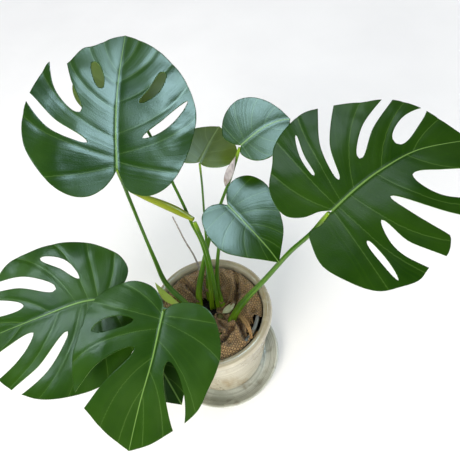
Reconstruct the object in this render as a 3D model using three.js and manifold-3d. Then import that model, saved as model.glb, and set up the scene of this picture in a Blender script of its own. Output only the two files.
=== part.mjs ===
// A potted monstera: a thrown stoneware pot on a glazed saucer, a plastic grow pot inside it,
// jute burlap gathered over the soil, and nine split or heart-shaped leaves on long stalks.
// Millimetres, +Z up. The origin is the middle of the saucer's underside.
import * as THREE from 'three';
import { mergeVertices } from 'three/addons/utils/BufferGeometryUtils.js';
import Module from 'manifold-3d';

const wasm = await Module();
wasm.setup();

// ---- driving dimensions ----
const GAP = 0.3;                  // clearance between pieces that touch
const POT_HEIGHT = 220;           // floor to the top of the pot's rim
const RIM_RADIUS = 111;           // outside of the rolled rim
const SAUCER_RADIUS = 118;
const SAUCER_FLOOR = 7;           // thickness of the saucer under the pot
const POT_FLOOR = 16;             // inside of the pot's floor
const SOIL_TOP = 190;
const GROW_POT_RIM = 205;
const BLADE_THICKNESS = 1.6;
const TURNS = 40;                 // sides of the round pieces
const STALK_SIDES = 8;
const STALK_STEP = 24;            // length of one stretch of a stalk
const MESH_CELL = 24;             // grid spacing of a leaf blade
const CUTTER_DEPTH = 160;         // deeper than any blade's fold

// ---- materials ----
const paint = (color, roughness) =>
  new THREE.MeshStandardMaterial({ color, roughness, metalness: 0 });
const stoneware = paint('#cfcab4', 0.35);
const saucerGlaze = paint('#c3c9c0', 0.3);
const growPotPlastic = paint('#b9bdb8', 0.5);
const peat = paint('#2a1f17', 0.95);
const jute = paint('#a98a63', 0.9);
const matureLeaf = paint('#2a5200', 0.35);
const shadedLeaf = paint('#5d7836', 0.5);
const newLeaf = paint('#8f9c14', 0.5);
const stalkGreen = paint('#5f8520', 0.5);
const barkGreen = paint('#6b6a35', 0.7);
const freshSheath = paint('#a4bf4a', 0.5);
const drySheath = paint('#a7a3a5', 0.8);

// ---- helpers ----
function toSolid(geometry) {
  const bare = geometry.clone();
  bare.deleteAttribute('normal');
  bare.deleteAttribute('uv');
  const merged = mergeVertices(bare, 1e-4);
  return new wasm.Manifold(new wasm.Mesh({
    numProp: 3,
    vertProperties: new Float32Array(merged.attributes.position.array),
    triVerts: new Uint32Array(merged.index.array),
  }));
}

function toGeometry(solid) {
  const mesh = solid.getMesh();
  const geometry = new THREE.BufferGeometry();
  geometry.setAttribute('position', new THREE.BufferAttribute(mesh.vertProperties, 3));
  geometry.setIndex(new THREE.BufferAttribute(mesh.triVerts, 1));
  geometry.computeVertexNormals();
  return geometry;
}

function piece(name, geometry, material) {
  const mesh = new THREE.Mesh(geometry, material);
  mesh.name = name;
  return mesh;
}

const points2 = (list) => list.map(([x, y]) => new THREE.Vector2(x, y));

// A turned piece: the profile is a list of [radius, height], from the axis round to the axis.
function turned(profile, sides = TURNS) {
  const geometry = new THREE.LatheGeometry(points2(profile), sides);
  geometry.rotateX(Math.PI / 2);
  return geometry;
}

// A stalk: a cylinder bent along a smooth route, its radius going through the given values.
function stalk(route, radii) {
  const curve = new THREE.CatmullRomCurve3(route.map((p) => new THREE.Vector3(...p)));
  const steps = Math.max(4, Math.round(curve.getLength() / STALK_STEP));
  const frames = curve.computeFrenetFrames(steps, false);
  const thickness = new THREE.SplineCurve(radii.map((r, i) => new THREE.Vector2(i, r)));
  const geometry = new THREE.CylinderGeometry(1, 1, 1, STALK_SIDES, steps);
  const place = geometry.attributes.position;
  for (let i = 0; i < place.count; i += 1) {
    const along = place.getY(i) + 0.5;
    const step = Math.round(along * steps);
    const radius = thickness.getPoint(along).y;
    const spot = curve.getPointAt(along)
      .addScaledVector(frames.normals[step], place.getX(i) * radius)
      .addScaledVector(frames.binormals[step], -place.getZ(i) * radius);
    place.setXYZ(i, spot.x, spot.y, spot.z);
  }
  return geometry;
}

// How far a blade stands off its flat plane: folded along the midrib, drooping at the margins.
const stand = ({ fold, droop, nod }, x, y) =>
  fold * (Math.hypot(y, 8) - 8) - droop * y * y - nod * Math.max(x, 0) ** 2;

const smoothLine = (list) => new THREE.SplineCurve(points2(list)).getPoints(list.length * 2);

// A slit or hole in a blade: a curved gap from the margin (or just inside it) towards the midrib.
function slitOutline({ from, via, to, widths: [first, middle, last], closed }) {
  const spine = new THREE.SplineCurve(points2([from, via, to]));
  const steps = 8;
  const near = [];
  const far = [];
  for (let i = 0; i <= steps; i += 1) {
    const t = i / steps;
    const width = first * (1 - t) * (1 - 2 * t) + middle * 4 * t * (1 - t) + last * t * (2 * t - 1);
    const inner = Math.sqrt(Math.max(0.01, 1 - t ** 8));
    const outer = closed ? Math.sqrt(Math.max(0.01, 1 - (1 - t) ** 8)) : 1;
    const along = spine.getTangent(t);
    const side = new THREE.Vector2(-along.y, along.x).multiplyScalar(0.5 * width * inner * outer);
    near.push(spine.getPoint(t).add(side));
    far.unshift(spine.getPoint(t).sub(side));
  }
  return [...near, ...far];
}

function cutter(outline) {
  const geometry = new THREE.ExtrudeGeometry(new THREE.Shape(outline), {
    depth: CUTTER_DEPTH,
    bevelEnabled: false,
  });
  geometry.translate(0, 0, -CUTTER_DEPTH / 2);
  return toSolid(geometry);
}

// A blade lies along +X from its stalk, its left side towards +Y. left and right are its margins
// from the stalk to the tip.
function blade({ left, right, slits = [], bend, thickness = BLADE_THICKNESS, cell = MESH_CELL }) {
  const margin = [...smoothLine(right), ...smoothLine(left).reverse().slice(1, -1)];
  const box = new THREE.Box2().setFromPoints(margin).expandByScalar(2);
  const size = box.getSize(new THREE.Vector2());
  const middle = box.getCenter(new THREE.Vector2());
  const sheet = new THREE.BoxGeometry(
    size.x, size.y, thickness, Math.ceil(size.x / cell), Math.ceil(size.y / cell), 1,
  );
  sheet.translate(middle.x, middle.y, 0);
  const place = sheet.attributes.position;
  for (let i = 0; i < place.count; i += 1) {
    place.setZ(i, place.getZ(i) + stand(bend, place.getX(i), place.getY(i)));
  }
  let solid = toSolid(sheet).intersect(cutter(margin));
  for (const slit of slits) {
    solid = solid.subtract(cutter(slitOutline(slit)));
  }
  return toGeometry(solid);
}

const degrees = (angle) => THREE.MathUtils.degToRad(angle);

// Sets a blade on its stalk: heading is where the tip points, slope how far it rises and roll
// how far the blade leans about its midrib, in degrees.
function leaf(name, spec, material = matureLeaf) {
  const mesh = piece(name, blade(spec), material);
  mesh.position.set(...spec.at);
  mesh.rotation.set(degrees(spec.roll), degrees(-spec.slope), degrees(spec.heading), 'ZYX');
  return mesh;
}

// ---- pot, saucer and what is in the pot ----
const POT_FOOT = SAUCER_FLOOR + GAP;
const saucer = piece('saucer', turned([
  [0, 0], [80, 0], [84, 2], [104, 8], [SAUCER_RADIUS - 3, 20], [SAUCER_RADIUS, 27],
  [SAUCER_RADIUS - 2, 30], [SAUCER_RADIUS - 5, 29], [SAUCER_RADIUS - 9, 21], [99, 11],
  [92, SAUCER_FLOOR], [0, SAUCER_FLOOR],
]), saucerGlaze);

const pot = piece('pot', turned([
  [0, POT_FOOT], [75, POT_FOOT], [79, 11], [85, 35], [92, 85], [98, 140], [101, 178], [103, 193],
  [108, 197], [RIM_RADIUS, 204], [RIM_RADIUS, 210], [108, 217], [103, POT_HEIGHT],
  [98, 218.5], [95, 213], [94, 200], [92, 178], [88, 120], [80, 50], [73, 22], [69, POT_FLOOR],
  [0, POT_FLOOR],
]), stoneware);

const growPot = piece('grow_pot', turned([
  [0, POT_FLOOR + GAP], [58, POT_FLOOR + GAP], [62, 19], [84, 197], [88, 197], [88, GROW_POT_RIM],
  [82, GROW_POT_RIM], [82, 199], [60.5, 21], [57, 18.5], [0, 18.5],
]), growPotPlastic);

const soil = piece('potting_soil', turned([
  [0, 18.5 + GAP], [56.5, 18.5 + GAP], [60, 22], [80, SOIL_TOP - 4], [76, SOIL_TOP], [0, SOIL_TOP],
]), peat);

// ---- stalks, each from the soil or the crown to just under its blade ----
// A stalk leaves the soil straight up.
const rooted = (x, y) => [[x, y, SOIL_TOP + GAP], [x, y, SOIL_TOP + 7]];
const crown = piece('crown', stalk(
  [...rooted(15, -12), [16, -13, 206]], [9, 8.5, 6],
), barkGreen);

const STALKS = {
  a: {
    route: [[3, -21, 199], [-10, -10, 203], [-26, 2, 212], [-46, 22, 227], [-70, 49, 252],
      [-80, 79, 290], [-87, 106, 360], [-85, 104, 430], [-79, 88, 485], [-76, 80, 506]],
    radii: [4.6, 4.8, 5, 4, 3, 2.8, 2.8, 2.6, 3],
  },
  b: {
    route: [...rooted(27, -33), [54, -16, 235], [103, -10, 300], [143, -14, 370],
      [170, -27, 425], [190, -31, 464]],
    radii: [6.5, 6, 4.6, 4, 3.6, 3.2, 3.4],
  },
  c: {
    route: [...rooted(-6, -30), [-45, -16, 232], [-98, 6, 262], [-140, 14, 280],
      [-155, 14, 286]],
    radii: [4.4, 4.2, 3.6, 3.2, 3],
  },
  d: {
    route: [...rooted(7, -38), [-18, -32, 240], [-44, -35, 285], [-59, -49, 324]],
    radii: [4.6, 4.2, 3.6, 3.2, 3.2],
  },
  e: {
    route: [...rooted(25, 4), [20, 31, 225], [25, 56, 252], [35, 70, 292], [49, 75, 347],
      [63, 80, 389]],
    radii: [5, 4.6, 3.4, 3, 2.6, 2.4],
  },
  f: {
    route: [...rooted(-19, 17), [-16, 36, 218], [4, 71, 262], [28, 98, 310],
      [55, 120, 358], [77, 130, 400], [98, 137, 453]],
    radii: [6, 5.4, 4, 3, 2.6, 2.4, 2.2],
  },
  g: {
    route: [...rooted(0, 34), [4, 54, 220], [10, 84, 240], [15, 112, 275], [21, 136, 322],
      [28, 150, 378], [32, 149, 425]],
    radii: [5, 4.4, 2.8, 2, 1.8, 1.6],
  },
  i: {
    route: [...rooted(20, -48), [10, -51, 212], [-8, -57, 224], [-45, -72, 246], [-91, -91, 277]],
    radii: [3.8, 3.8, 3.2, 2.6, 2.4],
  },
  j: {
    route: [...rooted(3, 15), [8, 30, 238], [11, 57, 268], [8, 86, 300], [-2, 105, 335],
      [-9, 123, 365], [-18, 141, 402], [-29, 167, 442], [-38, 190, 470], [-53, 213, 496]],
    radii: [4.6, 4, 3, 2.6, 2.4, 2.2],
  },
  young: {
    route: [...rooted(14, 7), [16, 20, 242], [17, 48, 276], [14, 71, 306], [8, 86, 336],
      [5, 93, 348]],
    radii: [4, 3.6, 3, 3, 3.2],
  },
};

const OLD_STALK = {
  route: [...rooted(-8, 42), [-9, 80, 224], [-15, 104, 242], [-26, 124, 265],
    [-33, 138, 292], [-37, 143, 318]],
  radii: [3, 2.2, 1.6, 1.3, 1],
};

const stalks = Object.entries(STALKS).map(([letter, { route, radii }]) =>
  piece(`petiole_${letter}`, stalk(route, radii), stalkGreen));
const oldStalk = piece('old_stalk', stalk(OLD_STALK.route, OLD_STALK.radii), drySheath);

// ---- burlap, lying over the grow pot's rim and drawn in round the stalks ----
const CLOTH_SLACK = 0.5;          // clear space left round a stalk
const OPEN_CORNER = { at: [75, -41], top: 19, bottom: 15 };   // radii where the cloth is pulled back
const COLLAR = { at: [15, -12], radius: 13 };                 // round the crown
const CLOTH_CUT = { middle: 205, depth: 60 };
function burlap() {
  let cloth = toSolid(turned([
    [0, SOIL_TOP + 3], [79, SOIL_TOP + 3], [80.5, GROW_POT_RIM + 1], [90, GROW_POT_RIM + 1],
    [92, 211], [86, 217], [66, 218], [44, 209], [28, 203], [0, 201],
  ]));
  const upright = (top, bottom, [x, y]) => {
    const hole = new THREE.CylinderGeometry(top, bottom, CLOTH_CUT.depth, 20);
    hole.rotateX(Math.PI / 2);
    hole.translate(x, y, CLOTH_CUT.middle);
    return toSolid(hole);
  };
  cloth = cloth.subtract(upright(OPEN_CORNER.top, OPEN_CORNER.bottom, OPEN_CORNER.at));
  for (const { route, radii } of [...Object.values(STALKS), OLD_STALK]) {
    cloth = cloth.subtract(toSolid(stalk(route, radii.map((r) => r + CLOTH_SLACK))));
  }
  return toGeometry(cloth.subtract(upright(COLLAR.radius, COLLAR.radius, COLLAR.at)));
}
const cover = piece('burlap_cover', burlap(), jute);

// ---- the four large split leaves ----
const LARGE_BEND = { fold: 0.16, droop: 0.0011, nod: 0.0004 };

const leafA = leaf('leaf_a', {
  at: [-76, 79, 510],
  heading: 79,
  slope: 26,
  roll: 15,
  bend: LARGE_BEND,
  right: [[0, 0], [-18, -8], [-34, -19], [-39, -46], [-23, -72], [10, -91], [48, -103], [84, -108],
    [118, -101], [155, -83], [188, -54], [209, -22], [219, 0]],
  left: [[0, 0], [-14, 5], [-31, 17], [-43, 36], [-42, 60], [-25, 87], [14, 117], [45, 127],
    [78, 127], [105, 122], [134, 113], [159, 101], [154, 80], [184, 59], [193, 41], [209, 20],
    [219, 0]],
  slits: [
    { from: [170, 93], via: [121, 80], to: [80, 54], widths: [20, 25, 14] },
    { from: [102, 127], via: [60, 90], to: [34, 41], widths: [9, 15, 8] },
    { from: [108, -95], via: [69, -65], to: [45, -33], widths: [3, 14, 5], closed: true },
    { from: [153, -60], via: [122, -47], to: [100, -26], widths: [12, 15, 5], closed: true },
    { from: [164, 41], via: [142, 34], to: [120, 28], widths: [9, 15, 9], closed: true },
  ],
});

const leafB = leaf('leaf_b', {
  at: [195, -30, 470],
  heading: 19,
  slope: 8,
  roll: 23,
  bend: LARGE_BEND,
  right: [[0, 0], [-10, -4], [-24, -9], [-40, -9], [-47, -20], [-52, -54], [-35, -88], [-12, -114],
    [15, -124], [41, -129], [66, -121], [88, -122], [104, -110], [112, -98], [141, -95],
    [160, -84], [161, -70], [196, -62], [212, -40], [222, -10]],
  left: [[0, 0], [-16, 7], [-37, 11], [-55, 23], [-60, 42], [-55, 66], [-33, 93], [-18, 113],
    [7, 127], [40, 134], [68, 129], [100, 118], [125, 107], [148, 99], [171, 84], [192, 56],
    [208, 22], [222, -10]],
  slits: [
    { from: [16, 112], via: [6, 81], to: [5, 51], widths: [4, 6, 6], closed: true },
    { from: [80, 135], via: [41, 80], to: [30, 30], widths: [24, 13, 9] },
    { from: [162, 97], via: [106, 73], to: [70, 41], widths: [11, 14, 14] },
    { from: [196, 57], via: [161, 50], to: [126, 35], widths: [2, 24, 20] },
    { from: [196, -72], via: [146, -42], to: [117, -13], widths: [44, 37, 12] },
    { from: [128, -104], via: [97, -62], to: [73, -23], widths: [38, 20, 8] },
    { from: [81, -132], via: [50, -88], to: [44, -43], widths: [22, 19, 8] },
    { from: [17, -116], via: [16, -87], to: [13, -56], widths: [3, 9, 7], closed: true },
  ],
});

const leafC = leaf('leaf_c', {
  at: [-157, 14, 290],
  heading: -176,
  slope: -8,
  roll: -21,
  bend: LARGE_BEND,
  right: [[0, 0], [-16, -8], [-34, -22], [-42, -40], [-35, -62], [-19, -80], [14, -104], [50, -119],
    [89, -126], [130, -129], [168, -126], [200, -109], [228, -80], [246, -42], [256, -6]],
  left: [[0, 0], [-18, 10], [-34, 26], [-40, 50], [-30, 82], [-6, 108], [24, 126], [58, 134],
    [100, 133], [134, 128], [160, 120], [186, 106], [208, 92], [232, 66], [248, 34], [256, -6]],
  slits: [
    { from: [110, -108], via: [71, -84], to: [46, -50], widths: [8, 17, 6], closed: true },
    { from: [232, -91], via: [158, -80], to: [92, -46], widths: [14, 20, 20] },
    { from: [256, -60], via: [205, -48], to: [158, -37], widths: [34, 28, 10] },
    { from: [254, 56], via: [194, 37], to: [147, 14], widths: [40, 35, 9] },
    { from: [208, 103], via: [143, 79], to: [84, 31], widths: [16, 19, 13] },
  ],
});

const leafD = leaf('leaf_d', {
  at: [-61, -52, 330],
  heading: -113,
  slope: -20,
  roll: -1,
  bend: { fold: 0.14, droop: 0.0012, nod: 0.0008 },
  right: [[0, 0], [-16, -5], [-34, -25], [-38, -56], [-26, -86], [-6, -109], [18, -123], [52, -127],
    [90, -128], [126, -120], [150, -104], [170, -76], [188, -46], [203, -12]],
  left: [[0, 0], [-14, 14], [-21, 42], [-15, 70], [6, 88], [37, 99], [64, 99], [95, 91], [122, 83],
    [144, 67], [165, 44], [186, 19], [203, -12]],
  slits: [
    { from: [168, -110], via: [109, -78], to: [59, -31], widths: [22, 27, 13] },
    { from: [163, 60], via: [115, 46], to: [68, 25], widths: [9, 29, 14] },
    { from: [48, -107], via: [32, -78], to: [20, -42], widths: [8, 20, 6], closed: true },
  ],
});

// ---- the smaller, heart-shaped leaves ----
const SMALL_BEND = { fold: 0.2, droop: 0.002, nod: 0.001 };

const leafE = leaf('leaf_e', {
  at: [65, 78, 395],
  heading: -59,
  slope: -17,
  roll: 1,
  bend: { fold: 0.2, droop: 0.0018, nod: 0.0006 },
  right: [[0, 0], [-10, -10], [-15, -28], [-8, -46], [10, -56], [32, -60], [58, -56], [80, -39],
    [100, -18], [120, 3]],
  left: [[0, 0], [-14, 8], [-26, 22], [-28, 43], [-18, 61], [5, 71], [32, 68], [58, 57], [84, 43],
    [104, 22], [120, 3]],
});

const leafF = leaf('leaf_f', {
  at: [101, 137, 460],
  heading: 16,
  slope: 10,
  roll: 23,
  bend: SMALL_BEND,
  right: [[0, 0], [-7, -12], [0, -28], [12, -38], [30, -41], [52, -33], [72, -20], [90, 2]],
  left: [[0, 0], [-11, 10], [-17, 28], [0, 54], [27, 68], [50, 64], [69, 49], [82, 27], [90, 2]],
});

const leafG = leaf('leaf_g', {
  at: [32, 150, 430],
  heading: 60,
  slope: 3,
  roll: 12,
  bend: SMALL_BEND,
  right: [[0, 0], [-5, -10], [-4, -24], [4, -40], [20, -51], [42, -50], [64, -36], [82, -16],
    [95, 3]],
  left: [[0, 0], [-9, 12], [-13, 28], [-2, 46], [20, 54], [42, 50], [64, 37], [82, 20], [95, 3]],
}, shadedLeaf);

const leafI = leaf('leaf_i', {
  at: [-93, -90, 282],
  heading: -67,
  slope: -24,
  roll: 0,
  bend: SMALL_BEND,
  right: [[0, 0], [-7, -8], [-8, -22], [4, -35], [24, -40], [46, -36], [68, -23], [92, 3]],
  left: [[0, 0], [-8, 8], [-9, 22], [3, 34], [24, 39], [46, 35], [68, 23], [92, 3]],
});

const leafJ = leaf('leaf_j', {
  at: [-55, 216, 502],
  heading: 92,
  slope: 14,
  roll: 8,
  bend: { fold: 0.2, droop: 0.0015, nod: 0.0007 },
  right: [[0, 0], [-10, -13], [-16, -36], [-3, -62], [26, -81], [62, -81], [99, -62], [127, -31],
    [153, 3]],
  left: [[0, 0], [-13, 13], [-18, 39], [-3, 65], [29, 86], [68, 90], [110, 76], [140, 44],
    [153, 3]],
}, shadedLeaf);

// ---- the new leaf, still rolled, and the sheaths ----
const youngLeaf = piece('young_leaf', stalk(
  [[4, 97, 353], [-5, 103, 357], [-22, 113, 366], [-44, 121, 380], [-66, 125, 397],
    [-86, 125, 416]],
  [4, 6.5, 7, 6, 4, 0.8],
), newLeaf);

const THIN = 1;
const SHEATH_CELL = 8;

const sheathA = leaf('sheath_a', {
  at: [-52, 19, 222],
  heading: 135,
  slope: 25,
  roll: -15,
  thickness: THIN,
  cell: SHEATH_CELL,
  bend: { fold: 0, droop: 0.02, nod: 0 },
  right: [[0, 0], [28, 0], [60, 0]],
  left: [[0, 0], [8, 9], [26, 14], [46, 8], [60, 0]],
}, freshSheath);

const drySheathF = leaf('sheath_dry', {
  at: [66, 121, 392],
  heading: 21,
  slope: 64,
  roll: 50,
  thickness: THIN,
  cell: SHEATH_CELL,
  bend: { fold: 0, droop: 0.02, nod: 0 },
  right: [[0, 0], [14, -4], [34, -5], [60, 0]],
  left: [[0, 0], [12, 6], [32, 7], [60, 0]],
}, drySheath);

const cataphyll = leaf('cataphyll', {
  at: [21, -10, 212],
  heading: 20,
  slope: 20,
  roll: 0,
  thickness: THIN,
  cell: SHEATH_CELL,
  bend: { fold: 0, droop: 0.02, nod: 0 },
  right: [[0, 0], [8, -6], [20, -6], [28, 0]],
  left: [[0, 0], [8, 6], [20, 6], [28, 0]],
}, freshSheath);

const plant = new THREE.Group();
plant.add(saucer, pot, growPot, soil, crown, ...stalks, oldStalk, cover);
plant.add(leafA, leafB, leafC, leafD, leafE, leafF, leafG, leafI, leafJ);
plant.add(youngLeaf, sheathA, drySheathF, cataphyll);

export default plant;
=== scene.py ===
"""A potted monstera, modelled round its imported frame: glazed stoneware pot and saucer, grow pot,
peat, burlap, stalks and leaves, with a plain stage and a camera. All lengths are in metres,
except where a name or a comment says millimetres."""

import math

import bmesh
import bpy
import numpy as np
from mathutils import Matrix, Vector, noise


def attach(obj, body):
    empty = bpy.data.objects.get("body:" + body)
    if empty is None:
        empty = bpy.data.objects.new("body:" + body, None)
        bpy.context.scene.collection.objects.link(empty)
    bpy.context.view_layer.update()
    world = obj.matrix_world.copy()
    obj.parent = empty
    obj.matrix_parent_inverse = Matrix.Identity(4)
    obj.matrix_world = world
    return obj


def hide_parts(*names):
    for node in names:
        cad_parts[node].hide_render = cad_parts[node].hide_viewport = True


bl_info = {
    "name": "Potted Monstera",
    "version": (1, 0, 0),
    "blender": (4, 5, 0),
    "location": "View3D > Sidebar > Monstera",
    "description": "Builds a potted monstera on its packed frame",
    "category": "Add Mesh",
}

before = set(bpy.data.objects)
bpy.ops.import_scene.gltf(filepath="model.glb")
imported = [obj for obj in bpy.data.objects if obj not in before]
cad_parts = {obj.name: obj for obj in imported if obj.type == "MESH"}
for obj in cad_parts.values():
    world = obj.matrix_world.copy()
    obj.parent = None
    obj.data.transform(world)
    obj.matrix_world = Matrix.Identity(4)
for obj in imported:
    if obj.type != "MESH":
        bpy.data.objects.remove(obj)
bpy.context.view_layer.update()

MM = 0.001
BODY = "root"
# Points of a skin or a turned piece that lie closer than this, in millimetres, are one.
WELD = 0.004

# ---------------------------------------------------------------------------------------------
# The plant's own measures, in millimetres, as in the frame.
# A blade lies along +X from its stalk, its left side towards +Y.

# How round the fold at a midrib is, and the widths of the hollow along the midrib, of the midrib
# and of a side vein.
FOLD_ROUNDING = 8
HOLLOW_WIDTH = 7
MIDRIB_WIDTH = 2
VEIN_WIDTH = 4.5
# Sizes of a blade's slow waves and of its small ones, and the height of the small ones.
SLOW_WAVE = 55
SMALL_WAVE = 17
SMALL_WAVE_HEIGHT = 0.35

# The gap between veins that is assumed outside a blade's first and last side vein.
WIDE_GAP = 40.0

# How a blade bends: the rise of its halves, their droop and the nod of its tip.
LARGE_BEND = (0.16, 0.0011, 0.0004)
SMALL_BEND = (0.2, 0.002, 0.001)

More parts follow.
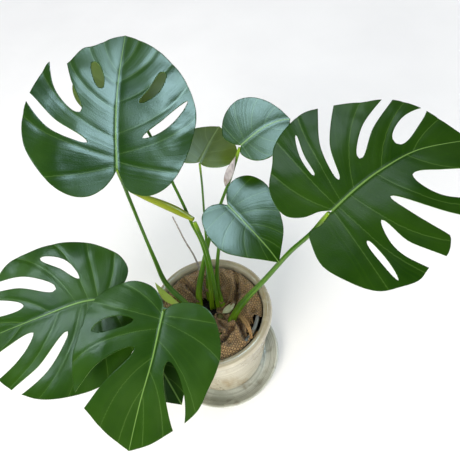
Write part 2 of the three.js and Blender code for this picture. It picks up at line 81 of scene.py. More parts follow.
LEAVES = {
    "leaf_a": {
        "at": (-76, 79, 510),
        "turn": (79, 26, 15),
        "bend": LARGE_BEND,
        "right": [
            (0, 0), (-18, -8), (-34, -19), (-39, -46), (-23, -72), (10, -91), (48, -103),
            (84, -108), (118, -101), (155, -83), (188, -54), (209, -22), (219, 0),
        ],
        "left": [
            (0, 0), (-14, 5), (-31, 17), (-43, 36), (-42, 60), (-25, 87), (14, 117), (45, 127),
            (78, 127), (105, 122), (134, 113), (159, 101), (154, 80), (184, 59), (193, 41),
            (209, 20), (219, 0),
        ],
        "slits": [
            ((170, 93), (121, 80), (80, 54), (20, 25, 14), False),
            ((102, 127), (60, 90), (34, 41), (9, 15, 8), False),
            ((108, -95), (69, -65), (45, -33), (3, 14, 5), True),
            ((153, -60), (122, -47), (100, -26), (12, 15, 5), True),
            ((164, 41), (142, 34), (120, 28), (9, 15, 9), True),
        ],
        "midrib": [(0, 0), (70, 5), (140, 5), (219, 0)],
        "veins": [
            (4, (-18, 85)), (14, (62, 120)), (42, (130, 105)), (88, (150, 70)),
            (130, (175, 45)), (150, (195, 28)), (10, (-5, -75)), (20, (70, -98)),
            (50, (128, -92)), (100, (165, -68)), (135, (185, -45)), (160, (205, -20)),
        ],
    },
    "leaf_b": {
        "at": (195, -30, 470),
        "turn": (19, 8, 23),
        "bend": LARGE_BEND,
        "right": [
            (0, 0), (-10, -4), (-24, -9), (-40, -9), (-47, -20), (-52, -54), (-35, -88),
            (-12, -114), (15, -124), (41, -129), (66, -121), (88, -122), (104, -110),
            (112, -98), (141, -95), (160, -84), (161, -70), (196, -62), (212, -40), (222, -10),
        ],
        "left": [
            (0, 0), (-16, 7), (-37, 11), (-55, 23), (-60, 42), (-55, 66), (-33, 93), (-18, 113),
            (7, 127), (40, 134), (68, 129), (100, 118), (125, 107), (148, 99), (171, 84),
            (192, 56), (208, 22), (222, -10),
        ],
        "slits": [
            ((16, 112), (6, 81), (5, 51), (4, 6, 6), True),
            ((80, 135), (41, 80), (30, 30), (24, 13, 9), False),
            ((162, 97), (106, 73), (70, 41), (11, 14, 14), False),
            ((196, 57), (161, 50), (126, 35), (2, 24, 20), False),
            ((196, -72), (146, -42), (117, -13), (44, 37, 12), False),
            ((128, -104), (97, -62), (73, -23), (38, 20, 8), False),
            ((81, -132), (50, -88), (44, -43), (22, 19, 8), False),
            ((17, -116), (16, -87), (13, -56), (3, 9, 7), True),
        ],
        "midrib": [(0, 0), (43, 9), (90, 14), (150, 12), (222, -10)],
        "veins": [
            (2, (-40, 75)), (8, (-10, 110)), (16, (28, 118)), (40, (112, 104)), (88, (170, 78)),
            (140, (200, 35)), (1, (0, -105)), (9, (50, -122)), (31, (102, -108)),
            (78, (158, -85)), (130, (205, -50)),
        ],
    },
    "leaf_c": {
        "at": (-157, 14, 290),
        "turn": (-176, -8, -21),
        "bend": LARGE_BEND,
        "right": [
            (0, 0), (-16, -8), (-34, -22), (-42, -40), (-35, -62), (-19, -80), (14, -104),
            (50, -119), (89, -126), (130, -129), (168, -126), (200, -109), (228, -80),
            (246, -42), (256, -6),
        ],
        "left": [
            (0, 0), (-18, 10), (-34, 26), (-40, 50), (-30, 82), (-6, 108), (24, 126), (58, 134),
            (100, 133), (134, 128), (160, 120), (186, 106), (208, 92), (232, 66), (248, 34),
            (256, -6),
        ],
        "slits": [
            ((110, -108), (71, -84), (46, -50), (8, 17, 6), True),
            ((232, -91), (158, -80), (92, -46), (14, 20, 20), False),
            ((256, -60), (205, -48), (158, -37), (34, 28, 10), False),
            ((254, 56), (194, 37), (147, 14), (40, 35, 9), False),
            ((208, 103), (143, 79), (84, 31), (16, 19, 13), False),
        ],
        "midrib": [(0, 0), (53, -10), (130, -9), (256, -6)],
        "veins": [
            (10, (-20, 90)), (20, (30, 120)), (40, (100, 128)), (50, (150, 118)),
            (94, (200, 85)), (170, (245, 30)), (9, (-25, -72)), (21, (20, -100)),
            (38, (75, -118)), (60, (150, -122)), (110, (240, -75)), (165, (250, -30)),
        ],
    },
    "leaf_d": {
        "at": (-61, -52, 330),
        "turn": (-113, -20, -1),
        "bend": (0.14, 0.0012, 0.0008),
        "right": [
            (0, 0), (-16, -5), (-34, -25), (-38, -56), (-26, -86), (-6, -109), (18, -123),
            (52, -127), (90, -128), (126, -120), (150, -104), (170, -76), (188, -46), (203, -12),
        ],
        "left": [
            (0, 0), (-14, 14), (-21, 42), (-15, 70), (6, 88), (37, 99), (64, 99), (95, 91),
            (122, 83), (144, 67), (165, 44), (186, 19), (203, -12),
        ],
        "slits": [
            ((168, -110), (109, -78), (59, -31), (22, 27, 13), False),
            ((163, 60), (115, 46), (68, 25), (9, 29, 14), False),
            ((48, -107), (32, -78), (20, -42), (8, 20, 6), True),
        ],
        "midrib": [(0, 0), (70, 0), (130, -6), (203, -12)],
        "veins": [
            (6, (2, 80)), (14, (48, 95)), (41, (125, 78)), (87, (165, 36)), (120, (190, 8)),
            (5, (-28, -60)), (11, (6, -112)), (25, (95, -122)), (68, (178, -60)),
            (110, (195, -30)),
        ],
    },
    "leaf_e": {
        "at": (65, 78, 395),
        "turn": (-59, -17, 1),
        "bend": (0.2, 0.0018, 0.0006),
        "right": [
            (0, 0), (-10, -10), (-15, -28), (-8, -46), (10, -56), (32, -60), (58, -56),
            (80, -39), (100, -18), (120, 3),
        ],
        "left": [
            (0, 0), (-14, 8), (-26, 22), (-28, 43), (-18, 61), (5, 71), (32, 68), (58, 57),
            (84, 43), (104, 22), (120, 3),
        ],
        "midrib": [(0, 0), (47, 2), (93, 4), (120, 3)],
        "veins": [
            (2, (-12, 48)), (6, (22, 68)), (22, (62, 58)), (44, (94, 38)), (70, (112, 20)),
            (2, (-10, -38)), (6, (16, -58)), (22, (52, -54)), (44, (82, -30)), (70, (106, -8)),
        ],
    },
    "leaf_f": {
        "at": (101, 137, 460),
        "turn": (16, 10, 23),
        "bend": SMALL_BEND,
        "right": [
            (0, 0), (-7, -12), (0, -28), (12, -38), (30, -41), (52, -33), (72, -20), (90, 2),
        ],
        "left": [
            (0, 0), (-11, 10), (-17, 28), (0, 54), (27, 68), (50, 64), (69, 49), (82, 27),
            (90, 2),
        ],
        "midrib": [(0, 0), (40, 8), (70, 8), (90, 2)],
        "veins": [
            (2, (-8, 40)), (8, (24, 64)), (24, (60, 54)), (46, (80, 30)), (2, (2, -26)),
            (10, (30, -38)), (28, (58, -28)), (50, (76, -14)),
        ],
    },
    "leaf_g": {
        "at": (32, 150, 430),
        "turn": (60, 3, 12),
        "bend": SMALL_BEND,
        "right": [
            (0, 0), (-5, -10), (-4, -24), (4, -40), (20, -51), (42, -50), (64, -36), (82, -16),
            (95, 3),
        ],
        "left": [
            (0, 0), (-9, 12), (-13, 28), (-2, 46), (20, 54), (42, 50), (64, 37), (82, 20),
            (95, 3),
        ],
        "midrib": [(0, 0), (50, 2), (95, 3)],
        "veins": [
            (2, (-6, 36)), (6, (22, 52)), (22, (56, 42)), (46, (78, 22)), (2, (0, -30)),
            (6, (22, -48)), (22, (56, -42)), (46, (78, -20)),
        ],
    },
    "leaf_i": {
        "at": (-93, -90, 282),
        "turn": (-67, -24, 0),
        "bend": SMALL_BEND,
        "right": [(0, 0), (-7, -8), (-8, -22), (4, -35), (24, -40), (46, -36), (68, -23), (92, 3)],
        "left": [(0, 0), (-8, 8), (-9, 22), (3, 34), (24, 39), (46, 35), (68, 23), (92, 3)],
        "midrib": [(0, 0), (46, 2), (92, 3)],
        "veins": [
            (2, (2, 30)), (6, (26, 36)), (22, (54, 28)), (44, (76, 14)), (2, (2, -31)),
            (6, (26, -38)), (22, (54, -29)), (44, (76, -13)),
        ],
    },
    "leaf_j": {
        "at": (-55, 216, 502),
        "turn": (92, 14, 8),
        "bend": (0.2, 0.0015, 0.0007),
        "right": [
            (0, 0), (-10, -13), (-16, -36), (-3, -62), (26, -81), (62, -81), (99, -62),
            (127, -31), (153, 3),
        ],
        "left": [
            (0, 0), (-13, 13), (-18, 39), (-3, 65), (29, 86), (68, 90), (110, 76), (140, 44),
            (153, 3),
        ],
        "midrib": [(0, 0), (80, 0), (153, 3)],
        "veins": [
            (2, (-8, 57)), (10, (39, 80)), (36, (94, 62)), (73, (130, 28)), (2, (-8, -55)),
            (10, (39, -78)), (36, (94, -62)), (73, (130, -26)),
        ],
    },
}

SHEATHS = {
    "sheath_a": {
        "at": (-52, 19, 222),
        "turn": (135, 25, -15),
        "bend": (0, 0.02, 0),
        "right": [(0, 0), (28, 0), (60, 0)],
        "left": [(0, 0), (8, 9), (26, 14), (46, 8), (60, 0)],
    },
    "sheath_dry": {
        "at": (66, 121, 392),
        "turn": (21, 64, 50),
        "bend": (0, 0.02, 0),
        "right": [(0, 0), (14, -4), (34, -5), (60, 0)],
        "left": [(0, 0), (12, 6), (32, 7), (60, 0)],
    },
    "cataphyll": {
        "at": (21, -10, 212),
        "turn": (20, 20, 0),
        "bend": (0, 0.02, 0),
        "right": [(0, 0), (8, -6), (20, -6), (28, 0)],
        "left": [(0, 0), (8, 6), (20, 6), (28, 0)],
    },
}


def rooted(x, y):
    """A stalk leaves the soil straight up: its first two points."""
    return [(x, y, 190.3), (x, y, 197)]


STALKS = {
    "crown": ([*rooted(15, -12), (16, -13, 206)], [9, 8.5, 6]),
    "petiole_a": (
        [(3, -21, 199), (-10, -10, 203), (-26, 2, 212), (-46, 22, 227), (-70, 49, 252),
         (-80, 79, 290), (-87, 106, 360), (-85, 104, 430), (-79, 88, 485), (-76, 80, 506)],
        [4.6, 4.8, 5, 4, 3, 2.8, 2.8, 2.6, 3],
    ),
    "petiole_b": (
        [*rooted(27, -33), (54, -16, 235), (103, -10, 300), (143, -14, 370), (170, -27, 425),
         (190, -31, 464)],
        [6.5, 6, 4.6, 4, 3.6, 3.2, 3.4],
    ),
    "petiole_c": (
        [*rooted(-6, -30), (-45, -16, 232), (-98, 6, 262), (-140, 14, 280), (-155, 14, 286)],
        [4.4, 4.2, 3.6, 3.2, 3],
    ),
    "petiole_d": (
        [*rooted(7, -38), (-18, -32, 240), (-44, -35, 285), (-59, -49, 324)],
        [4.6, 4.2, 3.6, 3.2, 3.2],
    ),
    "petiole_e": (
        [*rooted(25, 4), (20, 31, 225), (25, 56, 252), (35, 70, 292), (49, 75, 347),
         (63, 80, 389)],
        [5, 4.6, 3.4, 3, 2.6, 2.4],
    ),
    "petiole_f": (
        [*rooted(-19, 17), (-16, 36, 218), (4, 71, 262), (28, 98, 310), (55, 120, 358),
         (77, 130, 400), (98, 137, 453)],
        [6, 5.4, 4, 3, 2.6, 2.4, 2.2],
    ),
    "petiole_g": (
        [*rooted(0, 34), (4, 54, 220), (10, 84, 240), (15, 112, 275), (21, 136, 322),
         (28, 150, 378), (32, 149, 425)],
        [5, 4.4, 2.8, 2, 1.8, 1.6],
    ),
    "petiole_i": (
        [*rooted(20, -48), (10, -51, 212), (-8, -57, 224), (-45, -72, 246), (-91, -91, 277)],
        [3.8, 3.8, 3.2, 2.6, 2.4],
    ),
    "petiole_j": (
        [*rooted(3, 15), (8, 30, 238), (11, 57, 268), (8, 86, 300), (-2, 105, 335),
         (-9, 123, 365), (-18, 141, 402), (-29, 167, 442), (-38, 190, 470), (-53, 213, 496)],
        [4.6, 4, 3, 2.6, 2.4, 2.2],
    ),
    "petiole_young": (
        [*rooted(14, 7), (16, 20, 242), (17, 48, 276), (14, 71, 306), (8, 86, 336),
         (5, 93, 348)],
        [4, 3.6, 3, 3, 3.2],
    ),
    "old_stalk": (
        [*rooted(-8, 42), (-9, 80, 224), (-15, 104, 242), (-26, 124, 265), (-33, 138, 292),
         (-37, 143, 318)],
        [3, 2.2, 1.6, 1.3, 1],
    ),
}

# How far a stalk's joint runs on into its blade, and where along the stalk it lies and how long
# it is, as shares of the stalk's length.
JOINT_OVERRUN = 2.2
JOINT_MIDDLE = 0.95
JOINT_LENGTH = 0.045
# Spacing of a stalk's rings of points.
STALK_STEP = 3.5

YOUNG_LEAF = (
    [(4, 97, 353), (-5, 103, 357), (-22, 113, 366), (-44, 121, 380), (-66, 125, 397),
     (-86, 125, 416)],
    [4, 6.5, 7, 6, 4, 0.8],
)

# Thickness of the young leaf's roll and of a sheath, and a sheath's grid spacing and length.
ROLL_THICKNESS = 0.6
SHEATH_THICKNESS = 0.7
SHEATH_CELL = 1.2
SHEATH_LENGTH = 60

# Turned pieces, as (radius, height), from the axis round to the axis.
POT_PROFILE = [
    (0, 7.3), (75, 7.3), (79, 11), (85, 35), (92, 85), (98, 140), (101, 178), (103, 193),
    (108, 197), (111, 204), (111, 210), (108, 217), (103, 220), (98, 218.5), (95, 213),
    (94, 200), (92, 178), (88, 120), (80, 50), (73, 22), (69, 16), (0, 16),
]
# Spacing of the points along a profile, and how many tool marks pass from one to the next.
PROFILE_STEP = 2.2
BANDS_PER_STEP = 0.55
# Spacing of the throwing rings, how much slower they change round the pot than up it, and the
# size of the wall's dents.
RING_SPACING = 4.5
RING_STRETCH = 9
DENT_SIZE = 70
# Edges where the glaze ran thin, as height, width and how bare they are. The pot's second band,
# under its lip, is not thin glaze but painted shade.
POT_THIN_GLAZE_AND_SHADE = [(219.5, 1.6, 1), (195.5, 1.8, 0.8)]
SAUCER_EDGES = [(29.8, 1, 1), (0, 2, 0.5)]
SAUCER_PROFILE = [
    (0, 0), (80, 0), (84, 2), (104, 8), (115, 20), (118, 27), (116, 30), (113, 29), (109, 21),
    (99, 11), (92, 7), (0, 7),
]
GROW_POT_PROFILE = [
    (0, 16.3), (58, 16.3), (62, 19), (84, 197), (88, 197), (88, 205), (82, 205), (82, 199),
    (60.5, 21), (57, 18.5), (0, 18.5),
]
SOIL_PROFILE = [(0, 18.8), (56.5, 18.8), (60, 22), (80, 186), (76, 190), (0, 190)]
# The height at which the peat's crumbs begin, and how far above it they are full.
CRUMBS_FROM = 180
CRUMBS_RISE = 8

# The burlap reaches from its collar round the stalks to the pot's wall, and lies on the shelf that
# the grow pot's rim makes. Its upper face is given as (radius, height).
WALL = 93
COLLAR = 6
POT_SHELF = 207.6
SHELF_FROM = 76
CLOTH_PROFILE = [(0, 203), (28, 204), (44, 208), (66, 213), (86, 213), (WALL, POT_SHELF)]
STALK_CLEARANCE = 1.2
# Its usual, lowest and highest level.
CLOTH_LEVEL = 210
CLOTH_LOWEST = 193
CLOTH_HIGHEST = 228
# Its grid, its flat size and its pleats, and the sizes of its folds and puckers.
CLOTH_GRID = (250, 56)
CLOTH_FLAT = (430, 117)
PLEATS = 13
FOLD_SIZE = 19
PUCKER_SIZE = 8
OPEN_CORNER = (Vector((74, -48)), 17)
STALK_HOLLOW = (Vector((-2, 15)), 15)
# The strip of burlap torn loose beside the open corner: its route and half its width.
TORN_STRIP = (
    [(48, -20, 218), (56, -36, 226), (62, -52, 227), (64, -70, 218)],
    [3.2, 4, 3.6, 2.2],
)
# The loose threads round the corner: how many, where they start and their radii.
LOOSE_THREADS = 18
THREAD_FOOT = 213
THREAD_RADII = [0.6, 0.55, 0.35]
# The burlap's lumps and hollows, as x, y, width and height.
LUMPS = [
    (-42, 52, 22, 8), (-10, 74, 18, 6), (34, 62, 18, 9), (78, 30, 15, 8), (66, -6, 12, 5),
    (-66, 4, 18, 5), (-40, -50, 24, 4), (30, -64, 22, 4), (-46, 72, 7, -8), (-22, 34, 9, -9),
    (38, 8, 10, -5),
]
# Deep creases between its folds, each from one point to another.
CREASES = [
    ((58, 82), (56, 42)), ((56, 42), (48, 0)), ((48, 0), (34, -30)), ((-46, 70), (-19, 34)),
    ((-70, 30), (-34, 10)), ((10, -66), (36, -44)), ((44, -26), (55, -66)),
]


# The camera: its place in metres, its tilt from straight down and its roll in degrees, and its
# focal length.
CAMERA_PLACE = (0.061, -0.374, 0.902)
CAMERA_TILT = 38.4
CAMERA_ROLL = -10.4
CAMERA_LENS = 33.65

# The backdrop's strength as light, and as a shine on glossy surfaces.
BACKDROP_LIGHT = 0.95
BACKDROP_SHINE = 0.05


# ---------------------------------------------------------------------------------------------
# Colours and nodes


def linear(code):
    """An sRGB hex colour as linear red, green, blue and alpha. A colour setting is so already."""
    if not isinstance(code, str):
        return tuple(code)
    channels = [int(code[i : i + 2], 16) / 255 for i in (1, 3, 5)]
    return (*(c / 12.92 if c <= 0.04045 else ((c + 0.055) / 1.055) ** 2.4 for c in channels), 1)


def add(tree, kind, links=None, out=0, **settings):
    """Adds a node with its settings, and links or sets its inputs. Gives one of its outputs."""
    node = tree.nodes.new(kind)
    for key, value in settings.items():
        setattr(node, key, value)
    for key, value in (links or {}).items():
        if isinstance(value, bpy.types.NodeSocket):
            tree.links.new(value, node.inputs[key])
        else:
            node.inputs[key].default_value = linear(value) if isinstance(value, str) else value
    return node.outputs[out]


class Finish:
    """A material and short ways to build its nodes."""

    def __init__(self, name, **uniform):
        self.material = bpy.data.materials.new(name)
        self.material.use_nodes = True
        self.tree = self.material.node_tree
        self.shader = self.tree.nodes["Principled BSDF"]
        for key, value in uniform.items():
            self.shader.inputs[key.replace("_", " ")].default_value = value
        self.place = add(self.tree, "ShaderNodeTexCoord", out="Object")

    def uv(self, name):
        return add(self.tree, "ShaderNodeUVMap", uv_map=name)

    def value(self, name):
        return add(self.tree, "ShaderNodeAttribute", out="Fac", attribute_name=name)

    def math(self, operation, first, second=0.0, third=0.0):
        links = {0: first, 1: second, 2: third}
        return add(self.tree, "ShaderNodeMath", links, operation=operation)

    def noise(self, scale, detail=3.0, place=None, rough=0.5):
        """Soft noise. A scale of three numbers stretches it."""
        place = place or self.place
        if isinstance(scale, tuple):
            place = add(self.tree, "ShaderNodeMapping", {"Vector": place, "Scale": scale})
            scale = 1.0
        links = {"Vector": place, "Scale": scale, "Detail": detail, "Roughness": rough}
        return add(self.tree, "ShaderNodeTexNoise", links)

    def reach(self, value, low, high, start=0.0, end=1.0):
        """Takes a value from one range to another, and holds it there."""
        names = ("Value", "From Min", "From Max", "To Min", "To Max")
        return add(self.tree, "ShaderNodeMapRange", dict(zip(names, (value, low, high, start, end))))

    def ramp(self, value, *stops):
        """Colours between hex stops."""
        colour = add(self.tree, "ShaderNodeValToRGB", {"Fac": value})
        line = colour.node.color_ramp
        while len(line.elements) < len(stops):
            line.elements.new(0.5)
        for element, (place, code) in zip(line.elements, stops):
            element.position = place
            element.color = linear(code)
        return colour

    def mix(self, amount, first, second, kind="MIX"):
        links = {0: amount, 6: first, 7: second}
        return add(self.tree, "ShaderNodeMix", links, 2, data_type="RGBA", blend_type=kind)

    def colour(self, socket):
        self.tree.links.new(socket, self.shader.inputs["Base Color"])

    def roughness(self, socket):
        self.tree.links.new(socket, self.shader.inputs["Roughness"])

    def relief(self, height, depth, strength=1.0):
        """A fine relief, its depth in millimetres."""
        links = {"Height": height, "Distance": depth * MM, "Strength": strength}
        self.tree.links.new(add(self.tree, "ShaderNodeBump", links), self.shader.inputs["Normal"])


# ---------------------------------------------------------------------------------------------
# Materials


def leaf_finish(name, dark, light, vein, roughness, gloss):
    """Mature monstera leaf, grown: a waxy skin over dark green tissue. It gives the eye a satin
    gloss that follows every fold, light veins, and fine ribs that fan out between them."""
    f = Finish(name, IOR=1.45, Coat_Weight=gloss, Coat_Roughness=0.2, Specular_IOR_Level=0.25)
    blade = add(f.tree, "ShaderNodeSeparateXYZ", {0: f.uv("blade")}, "Y")
    count = f.value("rib")
    nearest = f.math("PINGPONG", count, 0.5)
    side_gap = f.math("MULTIPLY", nearest, f.value("spacing"))
    side_vein = f.reach(side_gap, 0.15, 1.0, 0.16, 0.0)
    halo = f.reach(side_gap, 0.0, 7.0, 0.25, 0.0)
    tipwards = add(f.tree, "ShaderNodeSeparateXYZ", {0: f.uv("blade")}, "X")
    taper = f.reach(tipwards, 0.0, 0.2, 1.0, 0.3)
    inside = f.math("DIVIDE", f.math("ABSOLUTE", blade), taper)
    midrib = f.reach(inside, 0.0007, 0.0019, 0.65, 0.0)
    fan = f.math("ADD", f.math("MULTIPLY", count, 9.0), f.noise(35, 1))
    ribs = add(f.tree, "ShaderNodeTexNoise", {"W": fan, "Scale": 1.0, "Detail": 2.0},
               noise_dimensions="1D")
    mottle = f.noise(14, 3)
    tone = f.ramp(mottle, (0.32, dark), (0.72, light))
    tone = f.mix(f.reach(ribs, 0.5, 0.75, 0.0, 0.3), tone, light)
    tone = f.mix(halo, tone, light)
    tone = f.mix(f.math("MAXIMUM", side_vein, midrib), tone, vein)
    f.colour(tone)
    f.roughness(f.reach(mottle, 0.3, 0.7, roughness - 0.04, roughness + 0.06))
    f.relief(f.math("MULTIPLY_ADD", ribs, 1.0, f.noise(700, 2)), 0.35, 0.5)
    return f.material


def under_finish(name, colour):
    """The underside of a leaf: the same tissue without the wax, paler and dull."""
    f = Finish(name, IOR=1.4, Roughness=0.6)
    f.colour(f.mix(f.reach(f.noise(30, 4), 0.35, 0.7), colour, "#6f9148"))
    f.relief(f.noise(450, 2), 0.3, 0.4)
    return f.material


def stalk_finish(name, foot, middle, top):
    """Leaf stalk, grown: smooth, fleshy and a little waxy, yellow-green where the sheath kept
    the light off, green above, with faint streaks along it."""
    f = Finish(name, IOR=1.42, Roughness=0.3)
    skin = f.uv("skin")
    streaks = f.noise((260, 16, 1), 3, skin)
    tone = f.ramp(f.value("along"), (0.0, foot), (0.2, middle), (0.9, top), (1.0, foot))
    tone = f.mix(f.reach(streaks, 0.45, 0.75, 0.0, 0.4), tone, foot)
    tone = f.mix(f.reach(f.noise((420, 130, 1), 1, skin), 0.66, 0.74, 0.0, 0.4), tone, "#3f5018")
    f.colour(tone)
    f.relief(streaks, 0.35, 0.5)
    return f.material


def dry_finish(name, dark, light):
    """Dried sheath: papery and dull, ribbed along its length, with brown edges."""
    f = Finish(name, IOR=1.4, Roughness=0.75)
    ribs = f.noise((330, 330, 50), 3)
    stains = f.reach(f.noise(60, 3), 0.5, 0.7, 0.0, 0.6)
    f.colour(f.mix(stains, f.ramp(ribs, (0.3, dark), (0.7, light)), "#6d5a42"))
    f.relief(ribs, 0.6, 0.7)
    return f.material


def glaze_finish(name, thick, thin, streak, ring_depth):
    """Stoneware, thrown and glazed: glassy, pale where the glaze is thick, brown where it ran
    thin over the throwing rings and the rim, with iron specks. The same brown draws painted
    shade in a band under the pot's lip."""
    f = Finish(name, IOR=1.52, Coat_Weight=0.3, Coat_Roughness=0.15)
    bands = {"W": f.math("ADD", f.value("band"), f.noise(9, 2)), "Scale": 1.0, "Detail": 4.0}
    rings = add(f.tree, "ShaderNodeTexNoise", bands, noise_dimensions="1D")
    cloud = f.noise((14, 14, 9), 5)
    runs = f.noise((34, 34, 7), 3)
    specks = f.noise(650, 1)
    tone = f.ramp(cloud, (0.3, thin), (0.6, thick))
    tone = f.mix(f.reach(rings, 0.5, 0.62, 0.0, 0.7), tone, thin)
    tone = f.mix(f.reach(runs, 0.58, 0.72, 0.0, 0.7), tone, streak)
    # The edge mark: glaze gone thin at the rims, and painted shade in the band under the pot's lip.
    tone = f.mix(f.reach(f.value("edge"), 0.2, 0.9, 0.0, 0.45), tone, streak)
    tone = f.mix(f.reach(specks, 0.7, 0.76, 0.0, 0.6), tone, "#5f4a2e")
    f.colour(tone)
    f.roughness(f.reach(cloud, 0.3, 0.7, 0.2, 0.4))
    f.relief(f.math("MULTIPLY_ADD", rings, 1.0, specks), ring_depth, 0.5)
    return f.material


def plastic_finish():
    """Polypropylene, injection-moulded: smooth and matte, faintly scuffed round its rim."""
    f = Finish("moulded_polypropylene", IOR=1.49, Roughness=0.45)
    # The nursery pot is white; this grey is painted shade, as the pot only shows in the dark gap
    # under the burlap.
    f.colour(f.ramp(f.noise((50, 50, 240), 4), (0.35, "#7f8482"), (0.65, "#a6aaa6")))
    f.relief(f.noise(1500, 1), 0.1, 0.4)
    return f.material


def peat_finish():
    """Peat and bark, loose and moist: dark crumbs of mixed size with paler fibres."""
    f = Finish("moist_peat", IOR=1.4, Roughness=0.9)
    crumbs = add(f.tree, "ShaderNodeTexVoronoi", {"Vector": f.place, "Scale": 260.0})
    tone = f.ramp(crumbs, (0.0, "#3a2b1e"), (0.7, "#100c08"))
    f.colour(f.mix(f.reach(f.noise((300, 40, 300), 3), 0.6, 0.7, 0.0, 0.6), tone, "#5b4630"))
    f.relief(crumbs, 2.5, 0.8)
    return f.material


def jute_finish(spacing, pale):
    """Jute burlap, plain woven: dull hairy threads of uneven thickness, dark between them, with
    painted shade where each thread dips under the next. Real threads are about 2 mm apart, and
    are drawn a little coarser so that they show."""
    f = Finish("woven_jute", IOR=1.4, Roughness=0.9, Sheen_Weight=0.2)
    weave = f.uv("weave")
    turn = math.pi / spacing
    waves = []
    for axis, stretch in (("X", (25, 200, 1)), ("Y", (200, 25, 1))):
        across = add(f.tree, "ShaderNodeSeparateXYZ", {0: weave}, axis)
        slack = f.math("MULTIPLY", f.noise(stretch, 2, weave), 2.6)
        waves.append(f.math("SINE", f.math("MULTIPLY_ADD", across, turn, slack)))
    warp = f.math("ABSOLUTE", waves[0])
    weft = f.math("ABSOLUTE", waves[1])
    threads = f.math("MAXIMUM", warp, weft)
    gaps = f.reach(threads, 0.4, 0.85, 1.0, 0.0)
    over = f.math("MULTIPLY", waves[0], waves[1])
    fibre = f.noise((900, 900, 1), 3, weave)
    tone = f.ramp(f.noise(30, 4), (0.3, "#9c7b50"), (0.7, pale))
    tone = f.mix(f.reach(fibre, 0.42, 0.72, 0.0, 0.5), tone, pale)
    # Painted shade: each thread is drawn darker where it dips under the crossing one.
    tone = f.mix(f.reach(over, -0.7, 0.7, 0.0, 0.65), tone, "#5f4527")
    f.colour(f.mix(gaps, tone, "#2c1e11"))
    hair = f.math("MULTIPLY_ADD", over, 0.5, fibre)
    f.relief(f.math("MULTIPLY_ADD", threads, 1.4, hair), 1.0, 0.8)
    return f.material


def yarn_finish():
    """Jute yarn, loosely spun: a dull pale thread with a twist along it."""
    f = Finish("loose_jute_yarn", IOR=1.4, Roughness=0.9)
    twist = f.noise((700, 500, 1), 2, f.uv("weave"))
    f.colour(f.ramp(twist, (0.3, "#7f5f3a"), (0.7, "#bd9865")))
    f.relief(twist, 0.4, 0.8)
    return f.material


def floor_finish():
    """Painted board, rolled: matt white."""
    f = Finish("white_floor", Roughness=0.9)
    f.colour(f.ramp(f.noise(3, 2), (0.3, "#f3f3f4"), (0.7, "#f8f8f9")))
    return f.material


# ---------------------------------------------------------------------------------------------
# Shapes


def spline(points, t):
    """The point at t, from 0 to 1, on a smooth line that passes its points at even times."""
    last = len(points) - 1
    i = min(int(t * last), last - 1)
    w = t * last - i
    near = (points[min(max(i + k, 0), last)] for k in (-1, 0, 1, 2))
    return tuple(
        0.5 * (2 * q + (r - p) * w + (2 * p - 5 * q + 4 * r - s) * w**2
               + (3 * q - p - 3 * r + s) * w**3)
        for p, q, r, s in zip(*near)
    )


def smooth_line(points, fineness):
    steps = (len(points) - 1) * fineness
    return [spline(points, i / steps) for i in range(steps + 1)]


def rounded_step(a, b, c, d, w):
    """The point at share w from b to c, on a centripetal line through a, b, c and d."""
    before, here, after = ((q - p).length ** 0.5 for p, q in ((a, b), (b, c), (c, d)))
    leave = here * ((b - a) / before - (c - a) / (before + here) + (c - b) / here)
    arrive = here * ((c - b) / here - (d - b) / (here + after) + (d - c) / after)
    return (b + leave * w + (3 * (c - b) - 2 * leave - arrive) * w**2
            + (2 * (b - c) + leave + arrive) * w**3)


def even_route(route, gap):
    """Points about a gap apart along a stalk's route."""
    way = [Vector(p) for p in route]
    knots = [2 * way[0] - way[1], *way, 2 * way[-1] - way[-2]]
    fine = []
    for a, b, c, d in zip(knots, knots[1:], knots[2:], knots[3:]):
        fine += [rounded_step(a, b, c, d, i / 24) for i in range(24)]
    fine.append(way[-1])
    lengths = [0.0]
    for p, q in zip(fine, fine[1:]):
        lengths.append(lengths[-1] + (q - p).length)
    steps = max(8, round(lengths[-1] / gap))
    targets = [lengths[-1] * i / steps for i in range(steps + 1)]
    axes = [np.interp(targets, lengths, [p[axis] for p in fine]) for axis in range(3)]
    return [Vector(map(float, spot)) for spot in zip(*axes)]


def ripple(spot, scale, seed):
    """Smooth noise between about -1 and 1. The scale is in millimetres."""
    return noise.noise(Vector(spot) / scale + Vector((seed * 7.3, seed * 3.1, seed * 5.7)))


def to_mesh(bm, name):
    """Ends a bmesh made in millimetres as a smooth mesh in metres."""
    bmesh.ops.scale(bm, vec=(MM, MM, MM), verts=bm.verts)
    mesh = bpy.data.meshes.new(name)
    bm.to_mesh(mesh)
    bm.free()
    mesh.shade_smooth()
    return mesh


def place_piece(name, mesh, materials, slot, *nodes):
    """Makes the object of a mesh, dresses it and ties it to the frame."""
    piece = bpy.data.objects.new(name, mesh)
    bpy.context.scene.collection.objects.link(piece)
    for material in materials:
        mesh.materials.append(material)
    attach(piece, BODY)
    if nodes:
        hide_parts(*nodes)
    return piece


def prism(outlines, depth):
    """A mesh of upright prisms, one for each outline."""
    bm = bmesh.new()
    for outline in outlines:
        corners = [bm.verts.new((x, y, -depth)) for x, y in outline]
        base = bm.faces.new(corners)
        rise = bmesh.ops.extrude_face_region(bm, geom=[base], use_keep_orig=True)["geom"]
        lifted = [part for part in rise if isinstance(part, bmesh.types.BMVert)]
        bmesh.ops.translate(bm, vec=(0, 0, 2 * depth), verts=lifted)
    bmesh.ops.recalc_face_normals(bm, faces=bm.faces)
    mesh = bpy.data.meshes.new("cutter")
    bm.to_mesh(mesh)
    bm.free()
    return mesh


